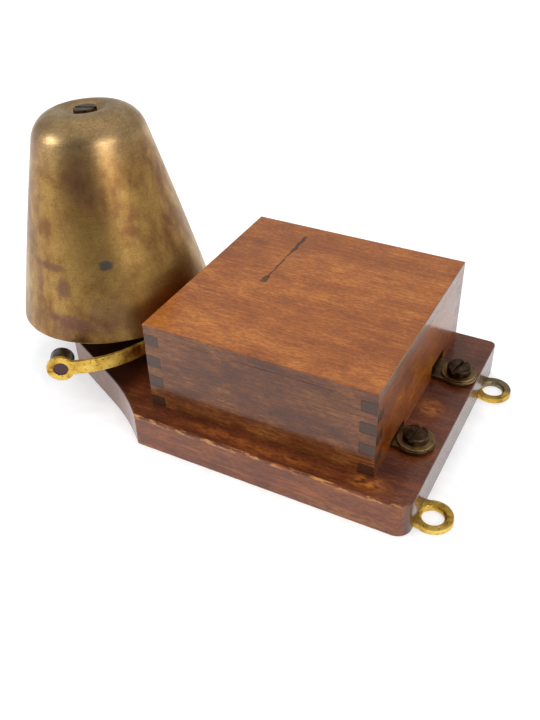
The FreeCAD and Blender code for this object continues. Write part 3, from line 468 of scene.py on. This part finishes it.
BOARD_TONES = (srgb(66, 27, 13), srgb(98, 46, 21), srgb(126, 66, 31))
BOARD_SIDE = (srgb(98, 44, 14), srgb(134, 66, 26), srgb(160, 90, 40))
LID_TONES = (srgb(132, 68, 20), srgb(162, 92, 32), srgb(190, 118, 48))
WALL_TONES = (srgb(86, 40, 13), srgb(122, 66, 25), srgb(164, 102, 50))
END_TONES = (srgb(106, 48, 8), srgb(150, 78, 12), srgb(186, 110, 30))
DARK_END = (srgb(46, 26, 13), srgb(88, 52, 28))
LID_END = (srgb(92, 54, 26), srgb(142, 92, 48))
BOARD_END = (srgb(70, 36, 22), srgb(104, 60, 38))
WORN_WOOD = srgb(214, 150, 84)
RUBBED = srgb(186, 112, 46)
FAINTLY_RUBBED = srgb(178, 100, 40)
SIDE_RUBBED = srgb(190, 122, 56)

# Rubbed places on the board: centre, size, colour and strength
WORN_PLACES = (((43.9, -48.4, 14.0), (5.5, 3.0, 2.5), RUBBED, 0.75),
               ((50.4, -2.0, 14.0), (3.6, 4.4, 2.5), RUBBED, 0.70),
               ((-13.0, -49.0, 14.0), (12.0, 2.2, 2.5), FAINTLY_RUBBED, 0.50),
               ((12.0, -50.0, 14.0), (16.0, 1.8, 2.5), FAINTLY_RUBBED, 0.50),
               ((40.0, BOARD_NEAR, 2.0), (16.0, 2.0, 2.2), SIDE_RUBBED, 0.60))
# The tongue's near-black under the gong is painted shadow; the streaks and the rubbed edge are wear.
board_marks = [(painted_shadow_tongue, srgb(38, 16, 8), 0.8), (streaked_side, srgb(178, 98, 42), 0.55),
               (rubbed_edge, WORN_WOOD, 0.75)]
for centre, radii, colour, weight in WORN_PLACES:
    board_marks.append((worn_patch(centre, radii), colour, weight))

# Metals: middle, dark and bright tones as 0 to 255, and what differs from plain aged metal
METALS = {
    "worn_brass": ((142, 116, 78), (92, 72, 48), (186, 160, 110),
                   dict(rough=(0.3, 0.5), edge_bright=0.9, seed=1.0)),
    "turned_brass": ((178, 142, 76), (120, 88, 44), (206, 172, 100), dict(seed=2.0)),
    "cast_brass": ((226, 186, 84), (148, 104, 40), (246, 220, 126),
                   dict(rough=(0.40, 0.56), patch=0.16, fine=1.2, relief=1.0, edge_bright=0.8, seed=3.0,
                        spots=0.55, cast=True, marks=((grey_far_eye, srgb(120, 112, 98), 0.85),))),
    "terminal_brass": ((118, 96, 66), (66, 52, 36), (158, 134, 92),
                       dict(rough=(0.3, 0.5), edge_bright=0.9, seed=4.0)),
    "rivet_brass": ((178, 142, 76), (120, 88, 44), (206, 172, 100), dict(seed=5.0)),
    "bronze_screw": ((76, 58, 42), (36, 27, 20), (118, 94, 68),
                     dict(rough=(0.28, 0.46), patch=0.3, edge_bright=0.9, seed=6.0)),
    "dark_steel": ((104, 96, 88), (60, 52, 48), (140, 132, 122),
                   dict(rough=(0.34, 0.5), patch=0.25, seed=7.0, spots=0.2,
                        marks=((shank_end, srgb(84, 60, 64), 0.9),))),
    "soft_iron": ((128, 124, 120), (88, 82, 76), (156, 152, 148), dict(seed=8.0)),
    "spring_steel": ((168, 168, 168), (120, 118, 114), (196, 196, 196), dict(seed=9.0)),
    "screw_steel": ((140, 136, 130), (86, 80, 72), (176, 172, 166), dict(seed=10.0)),
    "contact_silver": ((206, 206, 204), (150, 148, 144), (228, 228, 226), dict(seed=11.0)),
}
mats = {
    "board_wood": wood("board_wood", 0, BOARD_TONES, BOARD_END, WORN_WOOD, 1.3, BOARD_SIDE,
                       side_of_board=True, wear=0.85, marks=board_marks),
    "cover_wood": wood("cover_wood", 0, LID_TONES, DARK_END, WORN_WOOD, 4.7, WALL_TONES,
                       side_below=LID_TOP - 0.4, wear=0.8, wear_above=LID_TOP - 1.2,
                       top_end_tones=LID_END, marks=((stroke, srgb(40, 20, 16), 0.88),)),
    # The dark spot near the end's far top corner is painted shade for a slot.
    "end_wall_wood": wood("end_wall_wood", 1, END_TONES, DARK_END, WORN_WOOD, 8.1, wear=0.5,
                          wear_above=LID_TOP, marks=((painted_shade_end_slot, srgb(24, 14, 10), 0.9),)),
    "block_wood": wood("block_wood", 2, (srgb(140, 100, 60), srgb(170, 128, 80), srgb(196, 156, 104)),
                       (srgb(110, 76, 44), srgb(150, 110, 68)), srgb(200, 160, 110), 2.2),
    "gong_brass": gong_brass(),
    "bobbin_ebonite": plain("bobbin_ebonite", srgb(34, 30, 29), 0.3, 0.5, 0.3, 0.1),
    "winding_silk": silk(),
    "lead_cotton": cotton(),
}
for name, (middle, dark, bright, options) in METALS.items():
    mats[name] = metal(name, srgb(*middle), srgb(*dark), srgb(*bright), **options)
slot_of = {part["node"]: part["material_slot"] for part in frame["record"]["subparts"]}
for node, obj in frame["nodes"].items():
    obj.data.materials.clear()
    obj.data.materials.append(mats[slot_of[node]])


def bending_leaf():
    """The leaf spring as a strip with many cross-sections, between the armature and its post."""
    low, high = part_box("leaf_spring")
    sections = 56
    soft_edge = 0.00008
    mesh = bpy.data.meshes.new("leaf_strip")
    bm = bmesh.new()
    rings = []
    corners = ((low[1] + soft_edge, low[2]), (high[1] - soft_edge, low[2]), (high[1], low[2] + soft_edge),
               (high[1], high[2] - soft_edge), (high[1] - soft_edge, high[2]), (low[1] + soft_edge, high[2]),
               (low[1], high[2] - soft_edge), (low[1], low[2] + soft_edge))
    for i in range(sections + 1):
        x = low[0] + (high[0] - low[0]) * i / sections
        rings.append([bm.verts.new((x, y, z)) for y, z in corners])
    for a, b in zip(rings, rings[1:]):
        for j in range(len(corners)):
            k = (j + 1) % len(corners)
            bm.faces.new((a[j], a[k], b[k], b[j]))
    bm.faces.new(rings[0])
    bm.faces.new(list(reversed(rings[-1])))
    bmesh.ops.recalc_face_normals(bm, faces=bm.faces)
    bm.to_mesh(mesh)
    bm.free()
    piece = bpy.data.objects.new("leaf_strip", mesh)
    bpy.context.scene.collection.objects.link(piece)
    mesh.materials.append(mats["spring_steel"])
    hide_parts("leaf_spring")
    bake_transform(piece)


bending_leaf()


def stage_floor():
    """A pale floor that keeps the shadow, and looks white to the camera and in reflections."""
    bpy.ops.mesh.primitive_plane_add(size=6.0, location=(0, 0, -0.0002))
    floor = bpy.context.object
    floor.name = "floor"
    material = bpy.data.materials.new("floor")
    material.use_nodes = True
    tree = material.node_tree
    tree.nodes.clear()
    link = tree.links.new
    out = tree.nodes.new("ShaderNodeOutputMaterial")
    coords = tree.nodes.new("ShaderNodeTexCoord")
    cloth = tree.nodes.new("ShaderNodeTexNoise")
    cloth.inputs["Scale"].default_value = 150.0
    cloth.inputs["Detail"].default_value = 4.0
    cloth.inputs["Roughness"].default_value = 0.7
    link(coords.outputs["Object"], cloth.inputs["Vector"])
    tone = tree.nodes.new("ShaderNodeValToRGB")
    tone.color_ramp.elements[0].position = 0.35
    tone.color_ramp.elements[0].color = (0.56, 0.56, 0.57, 1)
    tone.color_ramp.elements[1].position = 0.65
    tone.color_ramp.elements[1].color = (0.66, 0.66, 0.66, 1)
    link(cloth.outputs["Fac"], tone.inputs["Fac"])
    diffuse = tree.nodes.new("ShaderNodeBsdfDiffuse")
    link(tone.outputs["Color"], diffuse.inputs["Color"])
    paths = tree.nodes.new("ShaderNodeLightPath")
    shown = diffuse.outputs[0]
    for ray, strength in (("Is Camera Ray", GLOW_TO_CAMERA), ("Is Glossy Ray", GLOW_IN_GLOSS)):
        glow = tree.nodes.new("ShaderNodeEmission")
        glow.inputs["Color"].default_value = (1.0, 1.0, 1.0, 1.0)
        part = tree.nodes.new("ShaderNodeMath")
        part.operation = "MULTIPLY"
        link(paths.outputs[ray], part.inputs[0])
        part.inputs[1].default_value = strength
        link(part.outputs[0], glow.inputs["Strength"])
        both = tree.nodes.new("ShaderNodeAddShader")
        link(shown, both.inputs[0])
        link(glow.outputs[0], both.inputs[1])
        shown = both.outputs[0]
    link(shown, out.inputs["Surface"])
    floor.data.materials.append(material)


def studio_world():
    """White to the camera, and a soft room for light and reflections: bright above, dim on one side."""
    world = bpy.data.worlds.new("studio")
    bpy.context.scene.world = world
    world.use_nodes = True
    tree = world.node_tree
    tree.nodes.clear()
    link = tree.links.new
    out = tree.nodes.new("ShaderNodeOutputWorld")
    coords = tree.nodes.new("ShaderNodeTexCoord")
    parts = tree.nodes.new("ShaderNodeSeparateXYZ")
    link(coords.outputs["Generated"], parts.inputs[0])
    height = tree.nodes.new("ShaderNodeValToRGB")
    height.color_ramp.elements[0].position = 0.0
    height.color_ramp.elements[0].color = (0.62, 0.62, 0.62, 1)
    height.color_ramp.elements[1].position = 1.0
    height.color_ramp.elements[1].color = (0.80, 0.80, 0.80, 1)
    middle = height.color_ramp.elements.new(0.45)
    middle.color = (0.46, 0.46, 0.46, 1)
    link(parts.outputs["Z"], height.inputs["Fac"])
    toward = tree.nodes.new("ShaderNodeVectorMath")
    toward.operation = "DOT_PRODUCT"
    link(coords.outputs["Generated"], toward.inputs[0])
    toward.inputs[1].default_value = DIM_SIDE
    dim = tree.nodes.new("ShaderNodeValToRGB")
    dim.color_ramp.interpolation = "EASE"
    dim.color_ramp.elements[0].position = 0.45
    dim.color_ramp.elements[0].color = (1.0, 1.0, 1.0, 1)
    dim.color_ramp.elements[1].position = 0.90
    dim.color_ramp.elements[1].color = (0.29, 0.28, 0.27, 1)
    link(toward.outputs["Value"], dim.inputs["Fac"])
    product = tree.nodes.new("ShaderNodeMix")
    product.data_type = "RGBA"
    product.blend_type = "MULTIPLY"
    product.inputs[0].default_value = 1.0
    link(height.outputs["Color"], product.inputs[6])
    link(dim.outputs["Color"], product.inputs[7])
    room = tree.nodes.new("ShaderNodeBackground")
    link(product.outputs[2], room.inputs["Color"])
    white = tree.nodes.new("ShaderNodeBackground")
    white.inputs["Color"].default_value = (1, 1, 1, 1)
    paths = tree.nodes.new("ShaderNodeLightPath")
    chosen = tree.nodes.new("ShaderNodeMixShader")
    link(paths.outputs["Is Camera Ray"], chosen.inputs[0])
    link(room.outputs[0], chosen.inputs[1])
    link(white.outputs[0], chosen.inputs[2])
    link(chosen.outputs[0], out.inputs["Surface"])


def area(name, location, target, size, power, seen_in_gloss):
    """A rectangular lamp aimed at a point."""
    light = bpy.data.lights.new(name, "AREA")
    light.shape = "RECTANGLE"
    light.size, light.size_y = size
    light.energy = power
    lamp = bpy.data.objects.new(name, light)
    lamp.visible_glossy = seen_in_gloss
    lamp.location = location
    lamp.rotation_euler = (Vector(target) - Vector(location)).to_track_quat("-Z", "Y").to_euler()
    bpy.context.scene.collection.objects.link(lamp)


def photo_camera():
    """The camera fitted to the photo: where it looks, how far off it is and how it is rolled."""
    azimuth, elevation, roll = math.radians(28.63), math.radians(37.16), math.radians(-1.73)
    distance, target = 0.36207, Vector((-0.02637, 0.01485, 0.0))
    focal_pixels, frame_pixels, sensor = 836.9, 720.0, 36.0
    back = Vector((math.sin(azimuth) * math.cos(elevation), -math.cos(azimuth) * math.cos(elevation),
                   math.sin(elevation)))
    level = Vector((0, 0, 1)).cross(back).normalized()
    upright = back.cross(level)
    right = level * math.cos(roll) + upright * math.sin(roll)
    up = upright * math.cos(roll) - level * math.sin(roll)
    data = bpy.data.cameras.new("photo")
    data.sensor_width = sensor
    data.lens = focal_pixels / frame_pixels * sensor
    data.clip_start = 0.01
    camera = bpy.data.objects.new("photo", data)
    turn = Matrix((right, up, back)).transposed()
    camera.matrix_world = Matrix.Translation(target + back * distance) @ turn.to_4x4()
    bpy.context.scene.collection.objects.link(camera)
    bpy.context.scene.camera = camera


stage_floor()
studio_world()
for lamp in LAMPS:
    area(*lamp)
photo_camera()
bpy.context.scene.view_settings.view_transform = "Standard"
